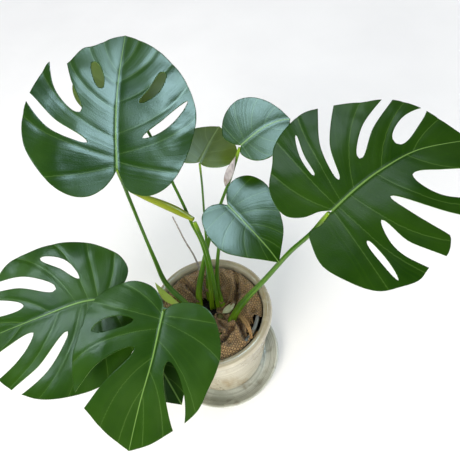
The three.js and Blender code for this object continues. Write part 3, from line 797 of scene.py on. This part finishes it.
def slit_outline(start, middle, end, widths, closed):
    """A slit runs from the margin, or just inside it, towards the midrib."""
    first, central, last = widths
    steps = 20
    near = []
    far = []
    for i in range(steps + 1):
        t = i / steps
        x, y = spline([start, middle, end], t)
        ahead = Vector(spline([start, middle, end], min(t + 0.01, 1)))
        behind = Vector(spline([start, middle, end], max(t - 0.01, 0)))
        along = (ahead - behind).normalized()
        width = first * (1 - t) * (1 - 2 * t) + central * 4 * t * (1 - t) + last * t * (2 * t - 1)
        half = 0.5 * width * max(0.01, 1 - t**8) ** 0.5
        if closed:
            half *= max(0.01, 1 - (1 - t) ** 8) ** 0.5
        near.append((x - along.y * half, y + along.x * half))
        far.append((x + along.y * half, y - along.x * half))
    return near + far[::-1]


def cut_sheet(spec, cell):
    """A flat sheet cut to a blade's margin and slits, as a fine grid."""
    right = smooth_line(spec["right"], 6)
    left = smooth_line(spec["left"], 6)
    margin = right + left[-2:0:-1]
    xs, ys = zip(*margin)
    middle = ((min(xs) + max(xs)) / 2 + 0.37, (min(ys) + max(ys)) / 2 + 0.23, 0)
    size = (max(xs) - min(xs) + 4, max(ys) - min(ys) + 4, 1)
    bm = bmesh.new()
    bmesh.ops.create_grid(bm, x_segments=round(size[0] / cell), y_segments=round(size[1] / cell),
                          size=0.5)
    bmesh.ops.scale(bm, vec=size, verts=bm.verts)
    bmesh.ops.translate(bm, vec=middle, verts=bm.verts)
    lower = bmesh.ops.extrude_face_region(bm, geom=bm.faces[:], use_keep_orig=True)["geom"]
    lowered = [part for part in lower if isinstance(part, bmesh.types.BMVert)]
    bmesh.ops.translate(bm, vec=(0, 0, -2), verts=lowered)
    bmesh.ops.recalc_face_normals(bm, faces=bm.faces)
    mesh = bpy.data.meshes.new("slab")
    bm.to_mesh(mesh)
    bm.free()
    slab = bpy.data.objects.new("slab", mesh)
    bpy.context.scene.collection.objects.link(slab)
    cuts = [("INTERSECT", prism([margin], 9))]
    if spec.get("slits"):
        cuts.append(("DIFFERENCE", prism([slit_outline(*slit) for slit in spec["slits"]], 8)))
    tools = []
    for operation, tool_mesh in cuts:
        tool = bpy.data.objects.new("tool", tool_mesh)
        bpy.context.scene.collection.objects.link(tool)
        tools.append(tool)
        modifier = slab.modifiers.new("cut", "BOOLEAN")
        modifier.operation = operation
        modifier.object = tool
        modifier.solver = "EXACT"
    bpy.context.view_layer.update()
    cut = bpy.data.meshes.new_from_object(slab.evaluated_get(bpy.context.evaluated_depsgraph_get()))
    for spare in [slab, *tools]:
        old = spare.data
        bpy.data.objects.remove(spare)
        bpy.data.meshes.remove(old)
    bm = bmesh.new()
    bm.from_mesh(cut)
    bpy.data.meshes.remove(cut)
    hidden = [
        face for face in bm.faces
        if abs(face.normal.z) < 0.5 or face.calc_center_median().z < -1
    ]
    bmesh.ops.delete(bm, geom=hidden, context="FACES")
    bmesh.ops.remove_doubles(bm, verts=bm.verts, dist=0.02)
    bmesh.ops.dissolve_degenerate(bm, edges=bm.edges, dist=0.02)
    many = [face for face in bm.faces if len(face.verts) > 4]
    bmesh.ops.triangulate(bm, faces=many)
    bmesh.ops.recalc_face_normals(bm, faces=bm.faces)
    if sum(face.normal.z for face in bm.faces) < 0:
        bmesh.ops.reverse_faces(bm, faces=bm.faces)
    return bm


def vein_fields(spec, x, y):
    """Where each point of a blade lies among its side veins: a count that passes a whole number
    at each vein, and the gap between the two veins on either side."""
    mid_x, mid_y = zip(*smooth_line(spec["midrib"], 12))
    offset = y - np.interp(x, mid_x, mid_y)
    count = np.zeros(len(x))
    spacing = np.full(len(x), WIDE_GAP)
    for side in (1, -1):
        here = np.flatnonzero(offset * side >= 0)
        gaps = []
        passed = []
        for start, end in [v for v in spec["veins"] if v[1][1] * side > 0]:
            root = np.array((start, np.interp(start, mid_x, mid_y)))
            reach = np.array(end) - root
            lean = (0.32, 0.68) if reach[0] > 0 else (0.68, 0.4)
            t = np.linspace(0, 1.2, 60)[:, None]
            line = root + 2 * t * (1 - t) * reach * lean + t * t * reach
            apart = np.stack((x[here], y[here]), 1)[:, None] - line[None]
            length = np.hypot(apart[..., 0], apart[..., 1])
            nearest = length.argmin(1)
            along = np.gradient(line, axis=0)[nearest]
            away = apart[np.arange(len(here)), nearest]
            passed.append((along[:, 0] * away[:, 1] - along[:, 1] * away[:, 0]) * side < 0)
            gaps.append(length[np.arange(len(here)), nearest])
        gaps = np.array(gaps)
        behind = np.sum(passed, axis=0)
        pick = np.arange(len(here))
        last = len(gaps) - 1
        first_gap = np.minimum(gaps[0], WIDE_GAP / 2 - 0.1) / WIDE_GAP
        final_gap = np.minimum(gaps[last], WIDE_GAP / 2 - 0.1) / WIDE_GAP
        between = (behind > 0) & (behind <= last)
        before = gaps[np.clip(behind - 1, 0, last), pick]
        after = gaps[np.clip(behind, 0, last), pick]
        share = before / np.maximum(before + after, 0.01)
        inner = np.where(between, behind - 1 + share, last + final_gap)
        place = np.where(behind == 0, -first_gap, inner)
        count[here] = place + (8 if side < 0 else 0)
        spacing[here] = np.where(between, before + after, WIDE_GAP)
    return offset, count, spacing


def leaf_mesh(name, spec, settings, seed):
    """A leaf blade: the cut sheet, folded along its midrib, with sunken veins, a raised midrib
    and a gently waved surface."""
    bm = cut_sheet(spec, settings.cell / MM)
    bm.verts.ensure_lookup_table()
    x = np.array([vert.co.x for vert in bm.verts])
    y = np.array([vert.co.y for vert in bm.verts])
    offset, count, spacing = vein_fields(spec, x, y)
    fold, droop, nod = spec["bend"]
    rise = fold * (np.hypot(offset, FOLD_ROUNDING) - FOLD_ROUNDING)
    rise = rise - droop * offset**2 - nod * np.maximum(x, 0) ** 2
    near = np.abs((count + 0.5) % 1 - 0.5) * spacing
    spread = 1 - np.exp(-np.abs(offset) / 9)
    length = max(point[0] for point in spec["right"])
    quilting = settings.quilting / MM * min(1, length / 220) ** 2
    rise -= quilting * np.exp(-((near / VEIN_WIDTH) ** 2)) * spread
    rise -= 0.9 * np.exp(-((offset / HOLLOW_WIDTH) ** 2))
    rise += 1.1 * np.exp(-((offset / MIDRIB_WIDTH) ** 2)) * np.clip(1 - x / length, 0.15, 1)
    waves = settings.waves / MM * min(1, length / 200)
    for vert, height, away in zip(bm.verts, rise, np.abs(offset)):
        margin = min(away / 60, 1.3)
        spot = (vert.co.x, vert.co.y, 0)
        slow = ripple(spot, SLOW_WAVE, seed) * waves * margin
        quick = ripple(spot, SMALL_WAVE, seed + 3) * SMALL_WAVE_HEIGHT * margin
        vert.co.z = height + slow + quick
    rib = bm.verts.layers.float.new("rib")
    gap = bm.verts.layers.float.new("spacing")
    for vert, k, s in zip(bm.verts, count, spacing):
        vert[rib] = float(k)
        vert[gap] = float(s)
    uv = bm.loops.layers.uv.new("blade")
    for face in bm.faces:
        for loop in face.loops:
            i = loop.vert.index
            loop[uv].uv = (float(x[i]) * MM, float(offset[i]) * MM)
    bmesh.ops.transform(bm, matrix=leaf_place(spec), verts=bm.verts)
    return to_mesh(bm, name)


def leaf_place(spec):
    """Where a blade is set: its heading, its slope and its roll, from the end of its stalk."""
    heading, slope, roll = (math.radians(angle) for angle in spec["turn"])
    turn = (Matrix.Rotation(heading, 4, "Z") @ Matrix.Rotation(-slope, 4, "Y")
            @ Matrix.Rotation(roll, 4, "X"))
    return Matrix.Translation(spec["at"]) @ turn


def skin(sides, steps, size, layer, shape):
    """A grid drawn onto a shape: shape gives the point for each share across and along. The
    flat size, in millimetres, sets its UV map."""
    bm = bmesh.new()
    bmesh.ops.create_grid(bm, x_segments=sides, y_segments=steps, size=1)
    uv = bm.loops.layers.uv.new(layer)
    along = bm.verts.layers.float.new("along")
    for face in bm.faces:
        for loop in face.loops:
            across, up = (loop.vert.co.xy + Vector((1, 1))) / 2
            loop[uv].uv = (across * size[0] * MM, up * size[1] * MM)
    for vert in bm.verts:
        across, up = (vert.co.xy + Vector((1, 1))) / 2
        vert[along] = up
        vert.co = shape(across, up)
    return bm


def close_tube(bm):
    """Joins a skin's long edges and closes its ends."""
    bmesh.ops.remove_doubles(bm, verts=bm.verts, dist=0.005)
    rims = [edge for edge in bm.edges if edge.is_boundary]
    bmesh.ops.holes_fill(bm, edges=rims, sides=0)
    bmesh.ops.recalc_face_normals(bm, faces=bm.faces)
    return bm


class Tube:
    """A round thing on a route: where a point at a share along, an angle and a radius lies. Angle
    0 is on its upper side, which faces up and in."""

    def __init__(self, route, radii, gap):
        self.way = even_route(route, gap)
        self.sizes = [(r,) for r in radii]
        self.steps = len(self.way) - 1
        lean = (self.way[-1] - self.way[0]) * Vector((1, 1, 0))
        self.upper = Vector((0, 0, 1)) - lean.normalized() * 0.8
        self.length = (self.way[1] - self.way[0]).length * self.steps

    def radius(self, share):
        return spline(self.sizes, share)[0]

    def point(self, share, angle, radius):
        step = round(share * self.steps)
        ahead = self.way[min(step + 1, self.steps)] - self.way[max(step - 1, 0)]
        ahead.normalize()
        top = (self.upper - ahead * self.upper.dot(ahead)).normalized()
        side = ahead.cross(top)
        return self.way[step] + (top * math.cos(angle) + side * math.sin(angle)) * radius


def stalk_mesh(name, route, radii, groove, joint, rough=0.1):
    """A leaf stalk. The groove, in millimetres, is deepest at the foot, where the stalk sheathes
    the next one. The joint under the blade is swollen and runs on into it."""
    if joint:
        last, end = (Vector(spot) for spot in route[-2:])
        route = [*route[:-1], end + (end - last).normalized() * JOINT_OVERRUN]
    tube = Tube(route, radii, STALK_STEP)

    def shape(across, up):
        angle = math.tau * across
        swelling = joint * math.exp(-(((up - JOINT_MIDDLE) / JOINT_LENGTH) ** 2))
        radius = tube.radius(up) * (1 + swelling)
        turn = min(angle, math.tau - angle)
        depth = groove * (0.25 + 0.75 * math.exp(-up * 7))
        lips = 0.35 * depth * math.exp(-(((turn - 0.75) / 0.3) ** 2))
        hollow = min(depth * math.exp(-((turn / 0.45) ** 2)), radius * 0.55)
        place = tube.point(up, angle, 6) + Vector((0, 0, up * tube.length))
        return tube.point(up, angle, radius - hollow + lips + rough * ripple(place, 5, 1))

    size = (math.tau * max(radii), tube.length)
    return to_mesh(close_tube(skin(24, tube.steps, size, "skin", shape)), name)


def turned_mesh(name, corners, passes, relief, edges):
    """A turned piece: its profile with worn corners, spun round the Z axis and pushed out by
    relief(x, y, z). Its edges are marked, because a glaze runs thin there; the pot's band under
    its lip is marked as painted shade."""
    line = []
    for (r, z), (r2, z2) in zip(corners, corners[1:]):
        parts = max(1, round(math.hypot(r2 - r, z2 - z) / PROFILE_STEP))
        line += [(r + (r2 - r) * i / parts, z + (z2 - z) * i / parts) for i in range(parts)]
    line.append(corners[-1])
    for _ in range(passes):
        inner = [
            tuple((a + 2 * b + c) / 4 for a, b, c in zip(*trio))
            for trio in zip(line, line[1:], line[2:])
        ]
        line = [line[0], *inner, line[-1]]
    bm = bmesh.new()
    band = bm.verts.layers.float.new("band")
    chain = [bm.verts.new((r, 0, z)) for r, z in line]
    for i, vert in enumerate(chain):
        vert[band] = i * BANDS_PER_STEP
    for a, b in zip(chain, chain[1:]):
        bm.edges.new((a, b))
    bmesh.ops.spin(bm, geom=bm.verts[:] + bm.edges[:], axis=(0, 0, 1), cent=(0, 0, 0),
                   angle=math.tau, steps=120, use_merge=True)
    bmesh.ops.remove_doubles(bm, verts=bm.verts, dist=WELD)
    bmesh.ops.recalc_face_normals(bm, faces=bm.faces)
    mark = bm.verts.layers.float.new("edge")
    floor = min(z for _, z in corners)
    moved = [(vert, vert.normal * relief(*vert.co)) for vert in bm.verts]
    for vert, push in moved:
        vert[mark] = max((darkening * math.exp(-(((vert.co.z - height) / width) ** 2))
                          for height, width, darkening in edges), default=0)
        vert.co += push
        vert.co.z = max(vert.co.z, floor)
    return to_mesh(bm, name)


def add_modifier(piece, kind, **settings):
    modifier = piece.modifiers.new(kind.lower(), kind)
    for key, value in settings.items():
        setattr(modifier, key, value)


# ---------------------------------------------------------------------------------------------
# Settings


def size_setting(name, description, millimetres):
    """A length that a user can change, shown in the scene's units."""
    return bpy.props.FloatProperty(name=name, description=description, default=millimetres * MM,
                                   min=0, precision=4, unit="LENGTH", subtype="DISTANCE")


def colour_setting(name, description, code):
    """A colour that a user can change."""
    return bpy.props.FloatVectorProperty(name=name, description=description, subtype="COLOR",
                                         size=4, default=linear(code), min=0, max=1)


class PotSettings(bpy.types.PropertyGroup):
    glaze: colour_setting("Glaze", "Colour of the thick glaze on the pot", "#cbc6b2")
    saucer_glaze: colour_setting("Saucer glaze", "Colour of the thick glaze on the saucer",
                                 "#cdd1c8")
    streaks: colour_setting("Streaks", "Colour of the glaze where it ran thin", "#8f7440")
    ring_depth: size_setting("Ring depth", "Depth of the throwing rings", 0.5)
    out_of_round: size_setting("Out of round", "How far the thrown wall strays from round", 0.5)
    crumbs: size_setting("Crumbs", "Height of the crumbs on the peat", 2.5)


class ClothSettings(bpy.types.PropertyGroup):
    jute: colour_setting("Jute", "Colour of the pale jute threads", "#cdaa7a")
    thread_spacing: size_setting("Thread spacing", "Distance between the burlap's threads", 3.2)
    folds: size_setting("Folds", "Height of the burlap's folds", 7.0)
    thickness: size_setting("Thickness", "Thickness of the burlap", 1.2)


class StalkSettings(bpy.types.PropertyGroup):
    green: colour_setting("Green", "Colour of the stalks halfway up", "#3f6a10")
    groove: size_setting("Groove", "Depth of the groove at the foot of a stalk", 2.6)
    joint: bpy.props.FloatProperty(name="Joint", description="Swelling of the joint under a blade",
                                   default=0.16, min=0, max=1, subtype="FACTOR")


class LeafSettings(bpy.types.PropertyGroup):
    green: colour_setting("Green", "Colour of a mature leaf", "#264800")
    veins: colour_setting("Veins", "Colour of a mature leaf's veins", "#7ea552")
    cell: size_setting("Grid", "Grid spacing of a blade", 1.8)
    thickness: size_setting("Thickness", "Thickness of a blade", 0.9)
    quilting: size_setting("Quilting", "Depth of the side veins below the blade", 0.85)
    waves: size_setting("Waves", "Height of a blade's slow waves", 4.0)


SETTINGS = {
    "monstera_pot": PotSettings,
    "monstera_cloth": ClothSettings,
    "monstera_stalks": StalkSettings,
    "monstera_leaves": LeafSettings,
}


# ---------------------------------------------------------------------------------------------
# Operators


class MakePot(bpy.types.Operator):
    """Make the glazed pot and saucer, the grow pot and the peat"""

    bl_idname = "monstera.pot"
    bl_label = "Pot and saucer"

    def execute(self, context):
        settings = context.scene.monstera_pot
        depth = settings.ring_depth / MM
        stray = settings.out_of_round / MM
        crumbs = settings.crumbs / MM

        def thrown(x, y, z):
            rings = ripple((x / RING_STRETCH, y / RING_STRETCH, z), RING_SPACING, 2) * depth
            return rings + ripple((x, y, z), DENT_SIZE, 4) * stray

        def even(*_):
            return 0

        def crumbled(x, y, z):
            top = min(max((z - CRUMBS_FROM) / CRUMBS_RISE, 0), 1)
            return top * crumbs * (0.7 * ripple((x, y, 0), 9, 5) + 0.5 * ripple((x, y, 0), 3.5, 6))

        stone = glaze_finish("thrown_stoneware", settings.glaze, "#a39a80", settings.streaks, 0.8)
        dish = glaze_finish("thrown_saucer", settings.saucer_glaze, "#9fa398", "#77715c", 0.5)
        plastic = plastic_finish()
        peat = peat_finish()
        for name, node, corners, passes, relief, edges, material, slot in (
            ("stoneware_pot", "pot", POT_PROFILE, 3, thrown, POT_THIN_GLAZE_AND_SHADE, stone, "stoneware"),
            ("glazed_saucer", "saucer", SAUCER_PROFILE, 1, thrown, SAUCER_EDGES, dish,
             "saucer_glaze"),
            ("nursery_pot", "grow_pot", GROW_POT_PROFILE, 0, even, [], plastic,
             "grow_pot_plastic"),
            ("peat_bed", "potting_soil", SOIL_PROFILE, 1, crumbled, [], peat, "peat"),
        ):
            mesh = turned_mesh(name, corners, passes, relief, edges)
            place_piece(name, mesh, [material], slot, node)
        return {"FINISHED"}


def lumps(x, y):
    """The rise of the burlap's lumps and the fall of its creases, in millimetres."""
    rise = 0
    for cx, cy, wide, high in LUMPS:
        rise += high * math.exp(-(((x - cx) ** 2 + (y - cy) ** 2) / wide**2))
    for start, end in CREASES:
        along = Vector(end) - Vector(start)
        away = Vector((x, y)) - Vector(start)
        share = min(max(away.dot(along) / along.length_squared, 0), 1)
        gap = (away - along * share).length
        rise += 6 * math.exp(-(((gap - 8) / 4) ** 2)) - 20 * math.exp(-((gap / 3.5) ** 2))
    return rise


def clearings(spot):
    """How far a spot lies outside the open corner and outside the hollow between the stalks.
    The open corner is drawn out along the rim."""
    centre, radius = OPEN_CORNER
    out = centre.normalized()
    away = spot - centre
    corner = math.hypot(away.dot(out) * 1.25, out.cross(away) * 0.78) - radius
    centre, radius = STALK_HOLLOW
    return corner, (spot - centre).length - radius


class MakeBurlap(bpy.types.Operator):
    """Make the burlap gathered round the stalks"""

    bl_idname = "monstera.burlap"
    bl_label = "Burlap"

    def execute(self, context):
        settings = context.scene.monstera_cloth
        folds = settings.folds / MM
        radii, heights = zip(*CLOTH_PROFILE)
        stalks = []
        for name, (route, sizes) in STALKS.items():
            tube = Tube(route, sizes, STALK_STEP)
            step = min(range(tube.steps), key=lambda i: abs(tube.way[i].z - CLOTH_LEVEL))
            stalks.append((tube.way[step].xy, tube.radius(step / tube.steps)))

        def shape(across, up):
            angle = math.tau * across
            out = COLLAR + (WALL - COLLAR) * up
            x = COLLAR * (1 - up) + out * math.cos(angle)
            y = -2 * (1 - up) + out * math.sin(angle)
            reach = math.hypot(x, y)
            x, y = (x, y) if reach < WALL else (x * WALL / reach, y * WALL / reach)
            z = float(np.interp(math.hypot(x, y), radii, heights))
            swing = 2.2 * ripple((x, y, 0), 40, 8)
            edge = min(max((WALL - reach) / 10, 0), 1)
            pleat = math.sin(PLEATS * angle + 3 * swing) * math.exp(-((up - 0.3) ** 2) / 0.09)
            ridge = 1 - 2 * abs(ripple((x, y, 0), FOLD_SIZE, 9))
            pucker = ripple((x, y, 0), PUCKER_SIZE, 10)
            z += folds * edge * (0.8 * pleat + 1.2 * (ridge - 0.6) + 0.5 * pucker)
            z += lumps(x, y) * (0.4 + 0.6 * edge)
            spot = Vector((x, y))
            corner, pit = clearings(spot)
            z += 3.5 * math.exp(-max(corner, 0) / 4) - 9 * math.exp(-max(pit, 0) / 4)
            for foot, size in stalks:
                away = spot - foot
                if away.length < size + STALK_CLEARANCE:
                    spot = foot + away.normalized() * (size + STALK_CLEARANCE)
                    z += STALK_CLEARANCE
                z += 1.5 * math.exp(-max(away.length - size, 0) / 3)
            if spot.length > SHELF_FROM and corner > 6:
                z = max(z, POT_SHELF)
            return Vector((*spot, min(max(z, CLOTH_LOWEST), CLOTH_HIGHEST)))

        bm = skin(*CLOTH_GRID, CLOTH_FLAT, "weave", shape)
        bmesh.ops.remove_doubles(bm, verts=bm.verts, dist=WELD)
        gone = [
            vert for vert in bm.verts
            if min(clearings(vert.co.xy)) < 2 * ripple((*vert.co.xy, 0), 7, 12)
        ]
        bmesh.ops.delete(bm, geom=gone, context="VERTS")
        across = [
            face for face in bm.faces
            if any((face.calc_center_median().xy - foot).length < size for foot, size in stalks)
        ]
        bmesh.ops.delete(bm, geom=across, context="FACES")
        bmesh.ops.recalc_face_normals(bm, faces=bm.faces)
        if sum(face.normal.z for face in bm.faces) < 0:
            bmesh.ops.reverse_faces(bm, faces=bm.faces)
        weave = jute_finish(settings.thread_spacing, settings.jute)
        cloth = place_piece("burlap_cloth", to_mesh(bm, "burlap_cloth"), [weave], "jute",
                            "burlap_cover")
        add_modifier(cloth, "SOLIDIFY", thickness=settings.thickness, offset=-1)
        frays = self.make_frays()
        return {"FINISHED"}

    def make_frays(self):
        """The torn strip and the loose threads round the open corner, as one piece."""
        centre, radius = OPEN_CORNER
        strip = Tube(*TORN_STRIP, 1.5)

        def flattened(across, up):
            angle = math.tau * across
            middle = strip.point(up, 0, 0)
            edge = strip.point(up, math.pi / 2, strip.radius(up)) - middle
            face = strip.point(up, 0, 0.7) - middle
            curl = 1.6 * ripple((up * 30, across * 3, 0), 7, 13)
            return middle + edge * math.sin(angle) + face * (math.cos(angle) + curl)

        parts = [close_tube(skin(14, strip.steps, (16, strip.length), "weave", flattened))]
        for i in range(LOOSE_THREADS):
            angle = 1.6 + i * 0.2 + 0.3 * ripple((i, 0, 0), 0.7, 14)
            out = Vector((math.cos(angle), math.sin(angle), 0))
            side = Vector((-out.y, out.x, 0))
            root = Vector((*centre, THREAD_FOOT)) + out * (radius + 2)
            reach = 10 + 8 * ripple((i, 3, 0), 0.7, 15)
            curl = side * 5 * ripple((i, 7, 0), 0.7, 16)
            tip = root - out * reach + curl + Vector((0, 0, 3 * ripple((i, 9, 0), 0.7, 17)))
            middle = root.lerp(tip, 0.5) + curl * 0.5 + Vector((0, 0, 2))
            tube = Tube([root, middle, tip], THREAD_RADII, 2)
            parts.append(close_tube(skin(
                6, tube.steps, (3, tube.length), "weave",
                lambda across, up: tube.point(up, math.tau * across, tube.radius(up)),
            )))
        frays = bmesh.new()
        for part in parts:
            mesh = bpy.data.meshes.new("thread")
            part.to_mesh(mesh)
            part.free()
            frays.from_mesh(mesh)
            bpy.data.meshes.remove(mesh)
        return place_piece("burlap_frays", to_mesh(frays, "burlap_frays"), [yarn_finish()], "jute",
                           "burlap_cover")


class MakeStalks(bpy.types.Operator):
    """Make the crown, the leaf stalks and the withered stalk"""

    bl_idname = "monstera.stalks"
    bl_label = "Stalks"

    def execute(self, context):
        settings = context.scene.monstera_stalks
        groove = settings.groove / MM
        green = stalk_finish("living_stalk", "#7d9f1a", settings.green, "#2e5714")
        bark = dry_finish("crown_bark", "#57512c", "#7c7a45")
        dry = dry_finish("withered_stalk", "#7d7470", "#aaa49f")
        for name, (route, radii) in STALKS.items():
            plain = name in ("crown", "old_stalk")
            material = {"crown": bark, "old_stalk": dry}.get(name, green)
            slot = {"crown": "stem_bark", "old_stalk": "dry_sheath"}.get(name, "stalk")
            mesh = stalk_mesh(name, route, radii, 0.3 if plain else groove,
                              0 if plain else settings.joint, 0.7 if plain else 0.1)
            place_piece(name.replace("petiole", "stalk") + "_grown", mesh, [material], slot, name)
        return {"FINISHED"}


class MakeLeaves(bpy.types.Operator):
    """Make the nine open leaves"""

    bl_idname = "monstera.leaves"
    bl_label = "Leaves"

    def execute(self, context):
        settings = context.scene.monstera_leaves
        mature = leaf_finish("waxy_leaf", "#163700", settings.green, settings.veins, 0.33, 0.06)
        shaded = leaf_finish("shaded_leaf", "#4c651b", "#64792f", "#8aa35a", 0.42, 0.03)
        under = under_finish("leaf_underside", "#587c36")
        for seed, (name, spec) in enumerate(LEAVES.items()):
            pale = name in ("leaf_g", "leaf_j")
            mesh = leaf_mesh(name, spec, settings, seed)
            top = shaded if pale else mature
            slot = "shaded_leaf" if pale else "leaf"
            leaf = place_piece(name + "_blade", mesh, [top, under], slot, name)
            add_modifier(leaf, "SOLIDIFY", thickness=settings.thickness, offset=-1,
                         material_offset=1, material_offset_rim=1)
        return {"FINISHED"}


class MakeNewGrowth(bpy.types.Operator):
    """Make the rolled young leaf and the sheaths"""

    bl_idname = "monstera.new_growth"
    bl_label = "Young leaf and sheaths"

    def execute(self, context):
        fresh = stalk_finish("young_leaf_roll", "#7d8a12", "#768412", "#84912a")
        route, radii = YOUNG_LEAF
        tube = Tube(route, radii, 3)

        def rolled(across, up):
            radius = tube.radius(up) * (1.04 - 0.2 * across)
            return tube.point(up, math.tau * (1.35 * across - 0.1), max(radius, 0.3))

        bm = skin(44, tube.steps, (60, tube.length), "skin", rolled)
        roll = place_piece("young_leaf_roll", to_mesh(bm, "young_leaf_roll"), [fresh], "new_leaf",
                           "young_leaf")
        add_modifier(roll, "SOLIDIFY", thickness=ROLL_THICKNESS * MM, offset=-1)
        pale = stalk_finish("fresh_sheath", "#c4d37c", "#b6cf5c", "#a6c056")
        stub = stalk_finish("cut_sheath", "#a9ad84", "#b3b792", "#c3c4a6")
        paper = dry_finish("dried_sheath", "#8a8587", "#b6b1b3")
        for name, spec in SHEATHS.items():
            bm = cut_sheet(spec, SHEATH_CELL)
            _, droop, nod = spec["bend"]
            along = bm.verts.layers.float.new("along")
            uv = bm.loops.layers.uv.new("skin")
            for face in bm.faces:
                for loop in face.loops:
                    loop[uv].uv = loop.vert.co.yx * MM
            for vert in bm.verts:
                x, y, _ = vert.co
                vert[along] = x / SHEATH_LENGTH
                vert.co.z = -droop * y * y - nod * max(x, 0) ** 2 + 0.9 * ripple((x, y, 0), 9, 20)
            bmesh.ops.transform(bm, matrix=leaf_place(spec), verts=bm.verts)
            dry = name == "sheath_dry"
            finish = {"sheath_dry": paper, "cataphyll": stub}.get(name, pale)
            sheath = place_piece(name + "_blade", to_mesh(bm, name), [finish],
                                 "dry_sheath" if dry else "fresh_sheath", name)
            add_modifier(sheath, "SOLIDIFY", thickness=SHEATH_THICKNESS * MM, offset=-1)
        return {"FINISHED"}


def area_light(name, place, aim, size, power, colour, lights, shines, only=None):
    """A softbox. It may light the surfaces, show as a shine on them, or both, and may be
    flagged off all pieces but some."""
    data = bpy.data.lights.new(name, "AREA")
    data.shape = "RECTANGLE"
    data.size, data.size_y = size
    data.energy = power
    data.color = linear(colour)[:3]
    light = bpy.data.objects.new(name, data)
    bpy.context.scene.collection.objects.link(light)
    light.location = place
    light.visible_diffuse = lights
    light.visible_glossy = shines
    if only:
        flagged = bpy.data.collections.new(name + "_on")
        for piece in only:
            flagged.objects.link(piece)
        light.light_linking.receiver_collection = flagged
    light.rotation_euler = (Vector(aim) - Vector(place)).to_track_quat("-Z", "Y").to_euler()


class MakeStage(bpy.types.Operator):
    """Make the floor, the lights and the camera"""

    bl_idname = "monstera.stage"
    bl_label = "Stage"

    def execute(self, context):
        scene = context.scene
        scene.view_settings.view_transform = "Standard"
        bm = bmesh.new()
        bmesh.ops.create_grid(bm, x_segments=4, y_segments=4, size=4)
        mesh = bpy.data.meshes.new("floor")
        bm.to_mesh(mesh)
        bm.free()
        floor = bpy.data.objects.new("floor", mesh)
        mesh.materials.append(floor_finish())
        scene.collection.objects.link(floor)
        pieces = [piece for piece in scene.objects if piece.type == "MESH"]
        broad = [piece for piece in pieces if piece.name == "leaf_b_blade"]
        rest = [piece for piece in pieces if piece.name != "leaf_b_blade"]
        area_light("key", (-1.3, -1.9, 1.7), (0, 0, 0.3), (1.3, 1.3), 70, "#fff8ec", True, False)
        sky = ((0.6, 0.4, 2.15), (0, 0.1, 0.5), (0.95, 0.8))
        area_light("sky", *sky, 92, "#bfe4f2", False, True, rest)
        area_light("sky_low", *sky, 12, "#d9eef5", False, True, broad)
        area_light("side", (-1.35, -0.05, 1.45), (-0.1, 0, 0.3), (0.45, 0.5), 12, "#d4ecf4",
                   False, True)
        world = bpy.data.worlds.new("studio")
        scene.world = world
        world.use_nodes = True
        tree = world.node_tree
        shine = add(tree, "ShaderNodeLightPath", out="Is Glossy Ray")
        limits = {"Value": shine, "From Min": 0.0, "From Max": 1.0, "To Min": BACKDROP_LIGHT,
                  "To Max": BACKDROP_SHINE}
        backdrop = tree.nodes["Background"]
        backdrop.inputs["Color"].default_value = linear("#f4f6f8")
        tree.links.new(add(tree, "ShaderNodeMapRange", limits), backdrop.inputs["Strength"])
        data = bpy.data.cameras.new("camera")
        data.sensor_width = 36
        data.lens = CAMERA_LENS
        data.clip_start = 0.02
        camera = bpy.data.objects.new("camera", data)
        scene.collection.objects.link(camera)
        camera.matrix_world = (Matrix.Translation(CAMERA_PLACE)
                               @ Matrix.Rotation(math.radians(CAMERA_TILT), 4, "X")
                               @ Matrix.Rotation(math.radians(CAMERA_ROLL), 4, "Z"))
        scene.camera = camera
        return {"FINISHED"}


OPERATORS = (MakePot, MakeBurlap, MakeStalks, MakeLeaves, MakeNewGrowth, MakeStage)


class MonsteraPanel(bpy.types.Panel):
    """Lists the plant's sizes and colours, and makes its pieces"""

    bl_idname = "VIEW3D_PT_monstera"
    bl_label = "Potted Monstera"
    bl_space_type = "VIEW_3D"
    bl_region_type = "UI"
    bl_category = "Monstera"

    def draw(self, context):
        layout = self.layout
        for name, group in SETTINGS.items():
            box = layout.box()
            for key in group.__annotations__:
                box.prop(getattr(context.scene, name), key)
        for operator in OPERATORS:
            layout.operator(operator.bl_idname)


CLASSES = (*SETTINGS.values(), *OPERATORS, MonsteraPanel)


def register():
    for item in CLASSES:
        bpy.utils.register_class(item)
    for name, group in SETTINGS.items():
        setattr(bpy.types.Scene, name, bpy.props.PointerProperty(type=group))


def unregister():
    for name in SETTINGS:
        delattr(bpy.types.Scene, name)
    for item in reversed(CLASSES):
        bpy.utils.unregister_class(item)


def main():
    register()
    bpy.ops.monstera.pot()
    bpy.ops.monstera.burlap()
    bpy.ops.monstera.stalks()
    bpy.ops.monstera.leaves()
    bpy.ops.monstera.new_growth()
    bpy.ops.monstera.stage()


if __name__ == "__main__":
    main()
